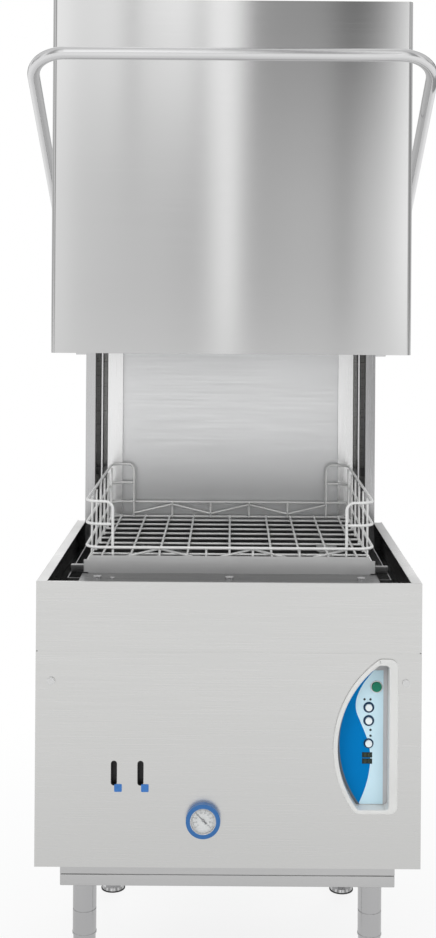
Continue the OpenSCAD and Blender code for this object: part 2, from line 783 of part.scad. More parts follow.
module pump_motor() {
    color("slategray") placed() difference() {
        union() {
            cyl_y(0, volute_y1, motor_y1, pump_z, motor_r);
            box([-45, volute_y1 + 30, deck_top], [45, motor_y1 - 40, pump_z - motor_r + 8]);
        }
        cyl_y(0, volute_y1 + 5, motor_y1 - 5, pump_z, motor_r - 5);
        cyl_y(0, volute_y1 - 1, motor_y1 + 1, pump_z, motor_shaft_r + run_gap);
    }
}
module pump_rotor() {
    vane_r = volute_r - 14;
    color("silver") placed() {
        cyl_y(0, volute_y0 + 22, motor_y1 + 8, pump_z, motor_shaft_r);
        cyl_y(0, volute_y0 + 26, volute_y0 + 31, pump_z, vane_r);
        for (a = [0:60:300]) translate([0, volute_y0 + 12, pump_z]) rotate([0, a, 0])
            cube([vane_r - 2, 14, 3]);
        cyl_y(0, volute_y1 + 35, motor_y1 - 35, pump_z, motor_r - 18);
    }
}

module wash_riser() {
    sock = riser_r + 3;
    difference() {
        union() {
            cyl_y(0, rack_cy, riser_y, tee_z, riser_r);
            cyl_z(0, riser_y, tee_z, manifold_z, riser_r);
            cyl_y(0, rack_cy, riser_y, manifold_z, riser_r);
            cyl_z(0, rack_cy, upper_wash_z + hub_half + 6, manifold_z, riser_r);
            cyl_z(0, rack_cy, upper_rinse_z - hub_half - 6, upper_wash_z + hub_half + 6, spindle_r);
            cyl_z(0, rack_cy, upper_rinse_z - hub_half - 10, upper_rinse_z - hub_half - slide_gap, spindle_r + 5);
            for (p = [[rack_cy, tee_z], [riser_y, tee_z], [riser_y, manifold_z], [rack_cy, manifold_z]])
                translate([0, p.x, p.y]) sphere(sock - 1);
        }
        cyl_y(0, rack_cy, riser_y, tee_z, riser_r - 2);
        cyl_z(0, riser_y, tee_z, manifold_z, riser_r - 2);
        cyl_y(0, rack_cy, riser_y, manifold_z, riser_r - 2);
    }
}
module wash_post() {
    seat = lower_wash_z - hub_half - slide_gap;
    cyl_z(0, rack_cy, tee_z + riser_r + 2.2, seat, riser_r);
    cyl_z(0, rack_cy, seat, lower_rinse_z + hub_half + 2, spindle_r);
    cyl_z(0, rack_cy, lower_rinse_z + hub_half + slide_gap, lower_rinse_z + hub_half + 5, spindle_r + 5);
}
module wash_pipes() {
    color("gray") placed() {
        wash_riser();
        wash_post();
    }
}

module booster_boiler() {
    x = -half_w + 125;
    r = 76;
    y0 = rack_cy - 165;
    y1 = rack_cy + 165;
    color("gainsboro") placed() {
        cyl_y(x, y0, y1, pump_z, r);
        cyl_y(x, y0 - 12, y0, pump_z - 30, 20);
        for (y = [y0 + 50, y1 - 70]) difference() {
            box([x - 60, y, deck_top], [x + 60, y + 20, pump_z - 40]);
            cyl_y(x, y - 1, y + 21, pump_z, r);
        }
    }
}
module inlet_valve() {
    inner = cover_y - sheet;
    color("dimgray") placed() difference() {
        union() {
            box([nipple_x - 22, inner - 40, nipple_z - 22], [nipple_x + 22, inner, nipple_z + 22]);
            cyl_z(nipple_x, inner - 20, nipple_z + 22, nipple_z + 60, 16);
            cyl_y(nipple_x, inner, cover_y + collar_out, nipple_z, nipple_collar_r);
            cyl_y(nipple_x, inner, rear_end, nipple_z, nipple_r);
        }
        cyl_y(nipple_x, inner - 20, rear_end + 1, nipple_z, nipple_r - 4);
    }
}
module drain_pipe() {
    bore = standpipe_r - 2;
    color("dimgray") placed() difference() {
        union() {
            cyl_z(standpipe_x, standpipe_y, drain_z, tank_z + sheet, drain_r);
            cyl_y(standpipe_x, standpipe_y, cover_y + collar_out, drain_z, drain_r);
            cyl_y(standpipe_x, standpipe_y, rear_end, drain_z, spigot_r);
            translate([standpipe_x, standpipe_y, drain_z]) sphere(drain_r + 2);
            cyl_z(standpipe_x, standpipe_y, tank_z + sheet, tank_z + sheet + 4, drain_r + 5);
        }
        cyl_z(standpipe_x, standpipe_y, drain_z, tank_z + sheet + 5, bore);
        cyl_y(standpipe_x, standpipe_y, rear_end + 1, drain_z, drain_r - 3);
    }
}
module cable_gland() {
    color("black") placed() difference() {
        union() {
            cyl_y(gland_x, cover_y - sheet - 8, cover_y, gland_z, gland_r);
            translate([gland_x, cover_y, gland_z]) rotate([-90, 0, 0]) cylinder(h = 8, r = gland_r + 4, $fn = 6);
            cyl_y(gland_x, cover_y + 8, rear_end - 4, gland_z, gland_r + 1);
        }
        cyl_y(gland_x, cover_y - sheet - 9, rear_end, gland_z, gland_bore);
    }
}

// ---- hood ----

// Plan outline of the hood, round at its two front edges
function hood_plan(inset) = let (x = hood_x - inset, y = hood_y0 + inset, r = hood_edge_r - inset) concat(
    arc([-x + r, y + r], r, 180, 270), arc([x - r, y + r], r, 270, 360));

module hood_shell() {
    lip_z = hood_z + hood_flange_lift;
    color("silver") placed() {
        translate([0, 0, hood_z]) linear_extrude(hood_h - sheet)
            polygon(concat([[-hood_x, hood_y1]], hood_plan(0), [[hood_x, hood_y1], [hood_x - sheet, hood_y1]],
                [for (i = [17:-1:0]) hood_plan(sheet)[i]], [[-hood_x + sheet, hood_y1]]));
        translate([0, 0, hood_top - sheet]) linear_extrude(sheet)
            polygon(concat([[-hood_x, hood_y1]], hood_plan(0), [[hood_x, hood_y1]]));
        both_sides() box([hood_flange_x, hood_y1 - sheet, lip_z], [hood_x - sheet, hood_y1, hood_top - sheet]);
        box([-hood_flange_x, hood_y1 - sheet, hood_top - skirt_h], [hood_flange_x, hood_y1, hood_top - sheet]);
        both_sides() track();
    }
}

// Channel that the handle's shoe runs in
module track() {
    y0 = shoe_y_near - shoe_r - 4;
    y1 = shoe_y_far + shoe_r + 4;
    box([hood_x, y0, track_z - track_half - 2], [hood_x + 1.2, y1, track_z + track_half + 2]);
    for (z = [track_z - track_half - 2, track_z + track_half])
        box([hood_x + 1.2, y0, z], [hood_x + track_d, y1, z + 2]);
}

module hood_guides() {
    color("black") placed() both_sides() for (lift = [56, 116]) difference() {
        box([rod_x - slot_w / 2 + 1, hood_y1, hood_z + lift],
            [rod_x + slot_w / 2 - 1, rod_y + rod_r + 7, hood_z + lift + block_h]);
        cyl_z(rod_x, rod_y, hood_z + lift - 1, hood_z + lift + block_h + 1, rod_r + slide_gap);
    }
}

// ---- handle, drawn with its arms along -Y about the pivot, then leaned back ----

module leaned() placed() translate([0, pivot_y, pivot_z]) rotate([-bail_angle, 0, 0]) children();

module handle_bail() {
    bend_y = -bail_len + bail_bend;
    color("lightgray") leaned() {
        difference() {
            union() {
                both_sides() {
                    cyl_y(arm_x, bend_y, 0, 0, bail_r);
                    translate([arm_x - bail_bend, bend_y, 0]) rotate([0, 0, -90]) elbow(bail_bend, bail_r);
                    cyl_x(arm_x - 12, arm_x + 12, 0, 0, hub_r);
                    cyl_x(hood_x + 2.2, arm_x, -shoe_dist, 0, shoe_r / 2);
                }
                cyl_x(bail_bend - arm_x, arm_x - bail_bend, -bail_len, 0, bail_r);
            }
            cyl_x(-arm_x - 13, arm_x + 13, 0, 0, shaft_r + weld_gap);
        }
        both_sides() shoe();
    }
}
// Nylon shoe that slides in the hood's track, on a pin from the arm
module shoe() {
    difference() {
        cyl_x(hood_x + 2, hood_x + track_d, -shoe_dist, 0, shoe_r);
        cyl_x(hood_x + 1, hood_x + track_d + 1, -shoe_dist, 0, shoe_r / 2 + weld_gap);
    }
}
module pivot_shaft() {
    color("gray") leaned() {
        cyl_x(-arm_x - 12, arm_x + 12, 0, 0, shaft_r);
        both_sides() spring_lever();
    }
}
// Lever on the shaft with a pin for a spring's hook
module spring_lever() {
    cyl_x(lever_x - 8, lever_x + 2, 0, 0, hub_r);
    box([lever_x - 8, 0, -6], [lever_x - 4, lever_len + 5, 6]);
    cyl_x(lever_x - 4, lever_x + 6, lever_len, 0, pin_r);
}

// ---- rack ----

module wire_ring(z) {
    side = wire_half - rack_corner;
    translate([0, rack_cy, z]) for (a = [0:90:270]) rotate([0, 0, a]) {
        translate([side, side, 0]) elbow(rack_corner, wire_r);
        translate([wire_half, -side, 0]) rotate([-90, 0, 0]) cylinder(h = 2 * side, r = wire_r);
    }
}
// Half of an upper loop: one side and its two front and rear ends
module side_wire(z, end_x) {
    side = wire_half - rack_corner;
    translate([0, rack_cy, z]) {
        translate([wire_half, -side, 0]) rotate([-90, 0, 0]) cylinder(h = 2 * side, r = wire_r);
        for (m = [0, 1]) mirror([0, m, 0]) {
            translate([side, side, 0]) elbow(rack_corner, wire_r);
            cyl_x(end_x, side, wire_half, 0, wire_r);
        }
    }
}
module end_post() {
    low = low_wire_z + wire_r + weld_gap;
    for (m = [-1, 1]) {
        y = rack_cy + m * wire_half;
        cyl_z(post_x, y, low, top_wire_z - post_bend, wire_r);
        translate([post_x + post_bend, y, top_wire_z - post_bend]) rotate([90, 0, 180]) elbow_down();
    }
}
module elbow_down() rotate_extrude(angle = 90) translate([post_bend, 0]) circle(wire_r);

module rack_loops() {
    wire_ring(base_wire_z);
    wire_ring(low_wire_z);
    both_sides() {
        side_wire(mid_wire_z, post_x + wire_r + weld_gap);
        union() {
            side_wire(top_wire_z, post_x + post_bend);
            end_post();
        }
    }
}

module rack_grid() {
    in1 = wire_half - wire_r - grid_r - weld_gap;
    in2 = in1 - 2 * grid_r - weld_gap;
    span = wire_half - wire_r - weld_gap;
    foot_z = base_wire_z - 1;
    bay = 2 * post_x / 5;
    apex_high = low_wire_z - 4;
    apex_low = base_wire_z + 8;
    for (i = [-4:4]) {
        cyl_x(-span, span, rack_cy + 50 * i, base_wire_z, grid_r);
        cyl_y(50 * i + 25 * sign(i), rack_cy - in2 + 4, rack_cy + in2 - 4, base_wire_z + 2 * grid_r + weld_gap, grid_r);
    }
    for (s = [-1, 1]) {
        for (i = [-3:2]) cyl_z(s * in1, rack_cy + 75 * (i + 0.5), foot_z, top_wire_z, grid_r);
        for (i = [-2:2]) if (i != 0) cyl_z(bay * (i - sign(i) / 2), rack_cy + s * in1, foot_z, low_wire_z, grid_r);
        for (x = [-post_x, post_x]) cyl_z(x, rack_cy + s * in1, foot_z, mid_wire_z, grid_r);
        for (i = [0:4]) {
            a = [-post_x + bay * i + 2, rack_cy + s * in2, i % 2 == 0 ? apex_low : apex_high];
            b = [-post_x + bay * (i + 1) - 2, rack_cy + s * in2, i % 2 == 0 ? apex_high : apex_low];
            slanted(a, b, grid_r);
        }
    }
}
module wire_rack() {
    color("white") placed() {
        rack_loops();
        rack_grid();
    }
}

// ---- wash and rinse arms ----

module arm(z, r, turn, up) {
    color("silver") placed() translate([0, rack_cy, z]) rotate([0, 0, turn]) difference() {
        union() {
            translate([-arm_reach, 0, 0]) rotate([0, 90, 0]) cylinder(h = 2 * arm_reach, r = r);
            translate([0, 0, -hub_half]) cylinder(h = 2 * hub_half, r = spindle_r + 10);
            for (s = [-1, 1], d = [60:40:220]) translate([s * d, 0, up > 0 ? 0 : -r - 3]) cylinder(h = r + 3, r = 3);
        }
        translate([0, 0, -hub_half - 1]) cylinder(h = 2 * hub_half + 2, r = spindle_r + run_gap);
    }
}
module lower_arms_wash() { arm(lower_wash_z, wash_r - 2, 35, 1); }
module lower_arms_rinse() { arm(lower_rinse_z, rinse_r, -40, 1); }
module upper_arms_wash() { arm(upper_wash_z, wash_r - 2, 50, -1); }
module upper_arms_rinse() { arm(upper_rinse_z, rinse_r, -25, -1); }

front_apron();
service_panel();
side_panels();
base_tray();
base_frame();
legs();
panel_screws();
foot_front_left();
foot_front_right();
foot_rear_left();
foot_rear_right();
gutter_deck();
tank();
tank_filters();
tank_heater();
standpipe();
ledge();
lip_plate();
ledge_screws();
rack_rails();
column_left();
column_right();
guide_rods();
back_wall();
shaft_cover();
pivot_bushes();
spring_anchor();
balance_springs();
control_surround();
control_fascia();
control_board();
power_button();
programme_button_upper();
programme_button_lower();
start_button();
gauge_body();
gauge_dial();
gauge_needle();
gauge_lens();
dosing_slots();
dosing_tags();
dosing_pumps();
electrical_box();
pump_housing();
pump_motor();
pump_rotor();
wash_pipes();
booster_boiler();
inlet_valve();
drain_pipe();
cable_gland();
hood_shell();
hood_guides();
handle_bail();
pivot_shaft();
wire_rack();
lower_arms_wash();
lower_arms_rinse();
upper_arms_wash();
upper_arms_rinse();
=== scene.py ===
"""Looks of the hood-type warewasher: finishes on its parts, fine detail, light and camera."""

import math

import bmesh
import bpy
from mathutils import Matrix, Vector


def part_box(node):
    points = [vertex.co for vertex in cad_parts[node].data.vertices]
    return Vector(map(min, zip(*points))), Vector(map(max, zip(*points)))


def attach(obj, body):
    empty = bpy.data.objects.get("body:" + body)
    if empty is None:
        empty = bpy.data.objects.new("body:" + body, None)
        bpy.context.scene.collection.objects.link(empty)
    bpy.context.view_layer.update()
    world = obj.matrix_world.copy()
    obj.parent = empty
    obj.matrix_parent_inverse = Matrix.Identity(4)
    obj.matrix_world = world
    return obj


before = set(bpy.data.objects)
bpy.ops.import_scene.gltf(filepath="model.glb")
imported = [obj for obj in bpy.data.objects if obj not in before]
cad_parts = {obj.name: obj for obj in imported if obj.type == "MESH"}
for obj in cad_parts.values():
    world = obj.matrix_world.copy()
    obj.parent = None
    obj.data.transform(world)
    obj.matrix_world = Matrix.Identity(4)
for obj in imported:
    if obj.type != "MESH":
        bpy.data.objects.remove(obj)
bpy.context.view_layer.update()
MM = 0.001

# ---- places, all read from the frame ----

apron_low, apron_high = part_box("front_apron")
cover_low, cover_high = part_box("shaft_cover")
FRONT = apron_low.y
RIM = apron_high.z


def at(x, y, z):
    """A point given in mm: across from the centre, back from the front face, up from the rim."""
    return Vector((x * MM, FRONT + y * MM, RIM + z * MM))


def back_of_front(y):
    """A depth of the frame, as at() takes it."""
    return (y - FRONT) / MM


def above_rim(z):
    """A height of the frame, as at() takes it."""
    return (z - RIM) / MM


# ---- shader building blocks ----

# Where a Mix node keeps its colours and its plain numbers
COLOUR_A, COLOUR_B, COLOUR_RESULT = 6, 7, 2
NUMBER_A, NUMBER_B, NUMBER_RESULT = 2, 3, 0


def start_material(name):
    """A new material with its node tree and its Principled shader."""
    mat = bpy.data.materials.new(name)
    mat.use_nodes = True
    return mat, mat.node_tree, shader_of(mat)


def shader_of(mat):
    """A material's Principled shader."""
    return next(n for n in mat.node_tree.nodes if n.type == "BSDF_PRINCIPLED")


def feed(tree, value, socket):
    """Links a socket to a node's output, or sets it to a plain value."""
    if isinstance(value, bpy.types.NodeSocket):
        tree.links.new(value, socket)
    else:
        socket.default_value = value


def maths(tree, operation, *values):
    """The output of a Math node."""
    node = tree.nodes.new("ShaderNodeMath")
    node.operation = operation
    for socket, value in zip(node.inputs, values):
        feed(tree, value, socket)
    return node.outputs[0]


def remap(tree, value, from_min, from_max, to_min=0.0, to_max=1.0):
    """A value taken from one range to another, and held inside it."""
    node = tree.nodes.new("ShaderNodeMapRange")
    node.inputs["From Min"].default_value = from_min
    node.inputs["From Max"].default_value = from_max
    node.inputs["To Min"].default_value = to_min
    node.inputs["To Max"].default_value = to_max
    tree.links.new(value, node.inputs["Value"])
    return node.outputs["Result"]


def mix_colour(tree, factor, first, second):
    """A blend of two colours, all second where the factor is 1."""
    node = tree.nodes.new("ShaderNodeMix")
    node.data_type = "RGBA"
    tree.links.new(factor, node.inputs["Factor"])
    feed(tree, first, node.inputs[COLOUR_A])
    feed(tree, second, node.inputs[COLOUR_B])
    return node.outputs[COLOUR_RESULT]


def mix_number(tree, factor, first, second):
    """A blend of two numbers, all second where the factor is 1."""
    node = tree.nodes.new("ShaderNodeMix")
    node.data_type = "FLOAT"
    tree.links.new(factor, node.inputs["Factor"])
    feed(tree, first, node.inputs[NUMBER_A])
    feed(tree, second, node.inputs[NUMBER_B])
    return node.outputs[NUMBER_RESULT]


def mix_shader(tree, factor, first, second):
    """A blend of two shaders, all second where the factor is 1."""
    node = tree.nodes.new("ShaderNodeMixShader")
    tree.links.new(factor, node.inputs["Fac"])
    tree.links.new(first, node.inputs[1])
    tree.links.new(second, node.inputs[2])
    return node.outputs["Shader"]


def place(tree, output="Object"):
    """Where a point of the surface lies, or the way a ray goes for a world's Generated output."""
    return tree.nodes.new("ShaderNodeTexCoord").outputs[output]


def split_xyz(tree, vector):
    node = tree.nodes.new("ShaderNodeSeparateXYZ")
    tree.links.new(vector, node.inputs["Vector"])
    return node.outputs


def noise(tree, scale, stretch=(1, 1, 1), detail=2):
    """A noise over the object's own coordinates, stretched along each axis."""
    mapping = tree.nodes.new("ShaderNodeMapping")
    mapping.inputs["Scale"].default_value = stretch
    texture = tree.nodes.new("ShaderNodeTexNoise")
    texture.inputs["Scale"].default_value = scale
    texture.inputs["Detail"].default_value = detail
    tree.links.new(place(tree), mapping.inputs["Vector"])
    tree.links.new(mapping.outputs["Vector"], texture.inputs["Vector"])
    return texture.outputs["Fac"]


def spread(tree, value, low, high):
    """A noise value, mostly between 0.3 and 0.7, taken to low..high."""
    return remap(tree, value, 0.3, 0.7, low, high)


def tint(tree, base, value, low, high):
    """The base colour, its brightness taken from low to high times itself by a noise value."""
    darker = [c * low for c in base] + [1]
    lighter = [min(1, c * high) for c in base] + [1]
    return mix_colour(tree, spread(tree, value, 0, 1), darker, lighter)


def bump(tree, bsdf, height, strength, distance):
    """Raises the surface by a noise value."""
    node = tree.nodes.new("ShaderNodeBump")
    node.inputs["Strength"].default_value = strength
    node.inputs["Distance"].default_value = distance
    tree.links.new(height, node.inputs["Height"])
    tree.links.new(node.outputs["Normal"], bsdf.inputs["Normal"])


# ---- materials ----

def steel(name, base, rough, grain=(1, 1, 60), anisotropy=0.0, contrast=0.04, grain_depth=0.12, relief=0.0002):
    """Brushed steel. The grain runs along the axes whose stretch is small."""
    mat, tree, bsdf = start_material(name)
    bsdf.inputs["Metallic"].default_value = 1.0
    bsdf.inputs["Anisotropic"].default_value = anisotropy
    bsdf.inputs["Anisotropic Rotation"].default_value = 0.25
    lines = noise(tree, 14, grain, 4)
    cloud = noise(tree, 2.2, (1, 1, 1.6))
    tree.links.new(tint(tree, base, cloud, 1 - contrast, 1 + contrast), bsdf.inputs["Base Color"])
    tree.links.new(spread(tree, lines, rough * 0.85, rough * 1.2), bsdf.inputs["Roughness"])
    bump(tree, bsdf, lines, grain_depth, relief)
    if anisotropy:
        tangent = tree.nodes.new("ShaderNodeTangent")
        tangent.direction_type = "RADIAL"
        tangent.axis = "Z"
        tree.links.new(tangent.outputs["Tangent"], bsdf.inputs["Tangent"])
    return mat


def zoned(mat, zones):
    """Gives a steel another shade between planes, where another finish begins or where shade is painted on an
    inside.

    A zone holds its limits and its shade. A limit on x counts on both sides of the middle. The darkest
    shades are painted shade in openings, so they stop being metal.
    """
    tree = mat.node_tree
    bsdf = shader_of(mat)
    parts = split_xyz(tree, place(tree))
    places = {"x": maths(tree, "ABSOLUTE", parts["X"]), "y": parts["Y"], "z": parts["Z"]}
    colour = bsdf.inputs["Base Color"].links[0].from_socket
    opening = 0.05
    for limits, shade in zones:
        tests = [maths(tree, operation, places[axis], value) for axis, operation, value in limits]
        inside = tests[0]
        for test in tests[1:]:
            inside = maths(tree, "MULTIPLY", inside, test)
        colour = mix_colour(tree, inside, colour, (shade, shade, shade, 1))
        if shade < opening:
            tree.links.new(maths(tree, "SUBTRACT", 1.0, inside), bsdf.inputs["Metallic"])
    tree.links.new(colour, bsdf.inputs["Base Color"])


def plastic(name, base, rough, depth=0.05, coat=0.0, specular=0.5):
    """Moulded plastic: a fine pebble in the surface and a faint change of shade."""
    mat, tree, bsdf = start_material(name)
    pebble = noise(tree, 900)
    cloud = noise(tree, 12)
    tree.links.new(tint(tree, base, cloud, 0.97, 1.03), bsdf.inputs["Base Color"])
    tree.links.new(spread(tree, pebble, rough - 0.04, rough + 0.05), bsdf.inputs["Roughness"])
    bsdf.inputs["Coat Weight"].default_value = coat
    bsdf.inputs["Specular IOR Level"].default_value = specular
    bump(tree, bsdf, pebble, depth, 0.0002)
    return mat


def glass(name):
    """Thin clear glass, a little smeared."""
    mat, tree, bsdf = start_material(name)
    tree.links.new(spread(tree, noise(tree, 60), 0.02, 0.06), bsdf.inputs["Roughness"])
    bsdf.inputs["Base Color"].default_value = (0.95, 0.98, 1.0, 1)
    bsdf.inputs["Alpha"].default_value = 0.12
    bsdf.inputs["IOR"].default_value = 1.5
    return mat


# Stretches of the grain, by the way its lines run
HORIZONTAL = (0.6, 0.6, 70)
FINE_HORIZONTAL = (0.25, 0.25, 120)
ALONG_X = (0.6, 60, 60)
ALONG_Z = (60, 60, 0.6)

STEELS = {
    "satin_steel": dict(base=(0.72, 0.72, 0.71), rough=0.30, grain=HORIZONTAL, anisotropy=0.35, contrast=0.008,
                        grain_depth=0.05),
    "side_steel": dict(base=(0.62, 0.62, 0.615), rough=0.30, grain=HORIZONTAL, anisotropy=0.35,
                       contrast=0.012),
    "hood_steel": dict(base=(0.62, 0.62, 0.62), rough=0.10, grain=FINE_HORIZONTAL, anisotropy=1.0,
                       contrast=0.02, grain_depth=0.10, relief=0.00006),
    "liner_steel": dict(base=(0.86, 0.865, 0.87), rough=0.34, grain=HORIZONTAL, anisotropy=0.2, contrast=0.01,
                        grain_depth=0.03),
    # Painted shade: the tank's steel is made dark to stand for the shade under the rack; rails, boiler, pipes
    # and arms share it
    "tank_steel_painted_shade": dict(base=(0.22, 0.22, 0.222), rough=0.28, grain=ALONG_X, contrast=0.08),
    # Painted shade: the gutter's steel is made nearly black to stand for the shade down in the gutter
    "gutter_steel_painted_shade": dict(base=(0.12, 0.12, 0.122), rough=0.30, grain=ALONG_X, contrast=0.15),
    "column_steel": dict(base=(0.60, 0.60, 0.605), rough=0.24, grain=ALONG_Z, contrast=0.03),
    "lip_steel": dict(base=(0.62, 0.62, 0.62), rough=0.40, grain=ALONG_X, contrast=0.05),
    # Painted shade: the ledge's steel is made dark to stand for the shade below the lip
    "ledge_steel_painted_shade": dict(base=(0.22, 0.22, 0.222), rough=0.30, grain=ALONG_X, contrast=0.10),
    "dark_steel": dict(base=(0.33, 0.33, 0.335), rough=0.30, grain=ALONG_X, contrast=0.06),
    "leg_steel": dict(base=(0.56, 0.56, 0.565), rough=0.16, grain=HORIZONTAL, contrast=0.05),
    "base_steel": dict(base=(0.64, 0.64, 0.64), rough=0.32, grain=ALONG_X, contrast=0.03),
    "polished_tube": dict(base=(0.74, 0.74, 0.745), rough=0.15, grain=ALONG_X, contrast=0.02,
                          grain_depth=0.03),
    "spring_steel": dict(base=(0.30, 0.30, 0.31), rough=0.30),
}
PLASTICS = {
    "white_wire": dict(base=(0.74, 0.74, 0.73), rough=0.34, depth=0.06, coat=0.3),
    "white_plastic": dict(base=(0.70, 0.70, 0.69), rough=0.30, depth=0.04, coat=0.3),
    "button_plastic": dict(base=(0.80, 0.86, 0.88), rough=0.30, depth=0.04, coat=0.2),
    "cap_plastic": dict(base=(0.58, 0.58, 0.575), rough=0.30, depth=0.04, coat=0.3),
    "frame_plastic": dict(base=(0.68, 0.68, 0.665), rough=0.32, coat=0.2),
    # Painted shade: the fascia's white plastic is made grey for the shade inside the control recess
    "fascia_plastic_painted_shade": dict(base=(0.52, 0.52, 0.53), rough=0.40),
    # Painted shadow: a dark band where the recess wall shades the print's curved edge
    "painted_shadow_plastic": dict(base=(0.12, 0.14, 0.16), rough=0.50),
    "deep_blue": dict(base=(0.0004, 0.185, 0.50), rough=0.45, depth=0.02, specular=0.04),
    "light_blue": dict(base=(0.62, 0.82, 0.91), rough=0.42, depth=0.02, specular=0.1),
    "navy": dict(base=(0.004, 0.035, 0.085), rough=0.36, depth=0.02, specular=0.3),
    "green_plastic": dict(base=(0.0, 0.19, 0.105), rough=0.30, depth=0.02, specular=0.35),
    "gauge_blue": dict(base=(0.015, 0.125, 0.36), rough=0.32, depth=0.03, coat=0.2),
    "tag_blue": dict(base=(0.02, 0.15, 0.46), rough=0.30, depth=0.02, coat=0.3),
    "black_plastic": dict(base=(0.012, 0.012, 0.013), rough=0.45, depth=0.12),
    "display": dict(base=(0.010, 0.020, 0.018), rough=0.30, depth=0.01, specular=0.3),
    "digit": dict(base=(0.07, 0.10, 0.05), rough=0.40, depth=0.01),
    "bearing_nylon": dict(base=(0.66, 0.63, 0.55), rough=0.45, depth=0.1),
    "pump_grey": dict(base=(0.06, 0.065, 0.07), rough=0.42, depth=0.2),
    "rubber": dict(base=(0.02, 0.02, 0.021), rough=0.6, depth=0.3),
}
MATERIALS = {name: steel(name, **look) for name, look in STEELS.items()}
MATERIALS.update({name: plastic(name, **look) for name, look in PLASTICS.items()})
MATERIALS["clear_glass"] = glass("clear_glass")

# Painted shade on the side skins' inner faces, the columns' bright liner, and painted shade in the columns'
# guide slots
SKIN_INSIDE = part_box("side_panels")[1].x - 1.3 * MM
BELOW_RIM = RIM - 2.5 * MM
LINER_EDGE = 257.5 * MM
SLOT_EDGE = 284.0 * MM
BEHIND_COLUMN_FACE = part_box("column_right")[0].y + 1.5 * MM
ZONES = {
    "side_steel": [([("x", "LESS_THAN", SKIN_INSIDE), ("z", "LESS_THAN", BELOW_RIM)], 0.10)],
    "column_steel": [([("x", "LESS_THAN", LINER_EDGE)], 0.93),
                     ([("x", "GREATER_THAN", LINER_EDGE), ("x", "LESS_THAN", SLOT_EDGE),
                       ("y", "GREATER_THAN", BEHIND_COLUMN_FACE)], 0.012)],
}
for zoned_name, material_zones in ZONES.items():
    zoned(MATERIALS[zoned_name], material_zones)

NODE_MATERIAL = {
    "satin_steel": ["front_apron", "service_panel", "shaft_cover"],
    "side_steel": ["side_panels"],
    "hood_steel": ["hood_shell"],
    "liner_steel": ["back_wall"],
    "gutter_steel_painted_shade": ["gutter_deck"],
    "lip_steel": ["lip_plate"],
    "tank_steel_painted_shade": ["tank", "tank_filters", "rack_rails", "booster_boiler", "wash_pipes",
                   "lower_arms_wash", "lower_arms_rinse", "upper_arms_wash", "upper_arms_rinse"],
    "column_steel": ["column_left", "column_right"],
    "ledge_steel_painted_shade": ["ledge"],
    "dark_steel": ["tank_heater", "spring_anchor"],
    "base_steel": ["base_tray", "base_frame"],
    "leg_steel": ["legs", "foot_front_left", "foot_front_right", "foot_rear_left", "foot_rear_right"],
    "polished_tube": ["guide_rods", "handle_bail", "pivot_shaft", "pump_rotor", "inlet_valve", "ledge_screws"],
    "spring_steel": ["balance_springs"],
    "white_wire": ["wire_rack"],
    "white_plastic": ["gauge_dial", "standpipe"],
    "frame_plastic": ["control_surround"],
    "fascia_plastic_painted_shade": ["control_fascia"],
    "cap_plastic": ["panel_screws"],
    "button_plastic": ["programme_button_upper", "programme_button_lower", "start_button"],
    "green_plastic": ["power_button"],
    "gauge_blue": ["gauge_body"],
    "tag_blue": ["dosing_tags"],
    "black_plastic": ["gauge_needle", "dosing_slots", "hood_guides", "cable_gland"],
    "display": ["control_board"],
    "bearing_nylon": ["pivot_bushes"],
    "pump_grey": ["dosing_pumps", "electrical_box", "pump_housing", "pump_motor", "drain_pipe"],
    "clear_glass": ["gauge_lens"],
}
# Radii of the rounded edges, in mm
BEVEL_WIDTH = {
    "hood_shell": 1.0, "front_apron": 0.6, "side_panels": 0.6, "shaft_cover": 0.6,
    "ledge": 0.5, "lip_plate": 0.5, "base_tray": 0.7, "base_frame": 1.5,
    "column_left": 0.6, "column_right": 0.6,
    "tank": 0.6, "gutter_deck": 0.4, "rack_rails": 0.5, "control_surround": 2.0, "hood_guides": 1.5,
    "panel_screws": 1.0, "ledge_screws": 0.9, "power_button": 0.9, "programme_button_upper": 0.6,
    "programme_button_lower": 0.6, "start_button": 0.6, "gauge_body": 1.2, "dosing_tags": 0.3,
    "electrical_box": 1.5, "legs": 0.4, "booster_boiler": 3.0, "pump_motor": 2.0, "inlet_valve": 1.0,
}
SHARP_EDGE = math.radians(38)


def finish_node(obj, material):
    """Gives a CAD node its material, round edges and smooth curves, and leaves its mesh as it is."""
    obj.data.materials.clear()
    obj.data.materials.append(MATERIALS[material])
    width = BEVEL_WIDTH.get(obj.name)
    if not width:
        return
    for polygon in obj.data.polygons:
        polygon.use_smooth = True
    weld = obj.modifiers.new("weld", "WELD")
    weld.merge_threshold = 0.01 * MM
    bevel = obj.modifiers.new("bevel", "BEVEL")
    bevel.width = width * MM
    bevel.segments = 3
    bevel.limit_method = "ANGLE"
    bevel.angle_limit = SHARP_EDGE
    weighted = obj.modifiers.new("weighted", "WEIGHTED_NORMAL")
    weighted.mode = "FACE_AREA_WITH_ANGLE"
    weighted.weight = 80


for material_name, node_names in NODE_MATERIAL.items():
    for node_name in node_names:
        finish_node(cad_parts[node_name], material_name)
# The handle is left out of reflections, where it would draw a hard line across the hood
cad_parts["handle_bail"].visible_glossy = False


# ---- pieces ----

FORWARD = (0, -1, 0)
BACKWARD = (0, 1, 0)
UPWARD = (0, 0, 1)


def add_piece(name, make, material, body="cabinet", smooth=False):
    """Makes a piece with a function that fills a bmesh, and links it so that it rides on a body."""
    mesh = bpy.data.meshes.new(name)
    bm = bmesh.new()
    make(bm)
    bmesh.ops.recalc_face_normals(bm, faces=bm.faces)
    bm.to_mesh(mesh)
    bm.free()
    mesh.materials.append(MATERIALS[material])
    for polygon in mesh.polygons:
        polygon.use_smooth = smooth
    obj = bpy.data.objects.new(name, mesh)
    bpy.context.scene.collection.objects.link(obj)
    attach(obj, body)


